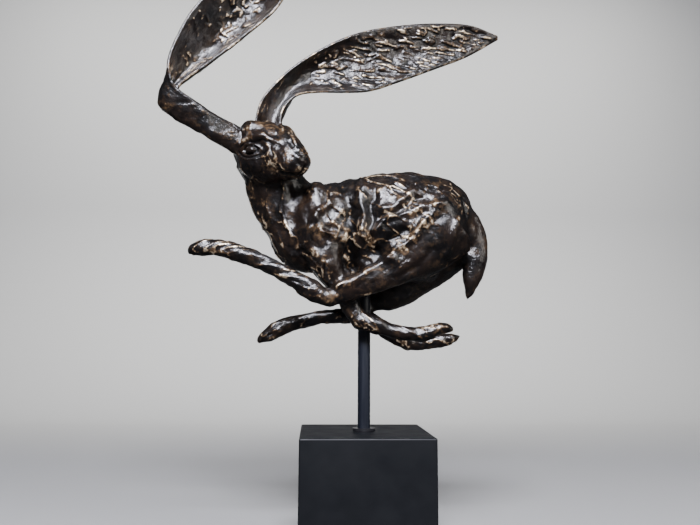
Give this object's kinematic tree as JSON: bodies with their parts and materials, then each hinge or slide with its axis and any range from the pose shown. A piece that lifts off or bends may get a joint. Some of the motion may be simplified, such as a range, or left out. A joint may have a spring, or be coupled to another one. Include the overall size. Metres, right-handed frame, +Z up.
{
  "type": "hare sculpture",
  "caption": "Cast bronze hare in full gallop, looking back, with tall curling ears, on a slim rod over a square black block.",
  "frame": {"origin": "centre of the block's underside", "axes": "+Z up along the rod, -X the way the hare runs, -Y its left flank, which faces the viewer"},
  "size_m": [0.2857, 0.1, 0.4887],
  "materials": {
    "bronze": "dark brown-black patina on cast bronze, raised ridges rubbed to pale gold, under a gloss lacquer",
    "rod_black": "satin blue-black paint on a steel rod",
    "collar_black": "satin black paint, worn slightly bare at its rim",
    "block_black": "satin black coating, even, with soft reflections"
  },
  "bodies": {
    "root": {"hare": "bronze", "support_rod": "rod_black", "rod_collar": "collar_black", "plinth_block": "block_black"}
  },
  "joints": []
}
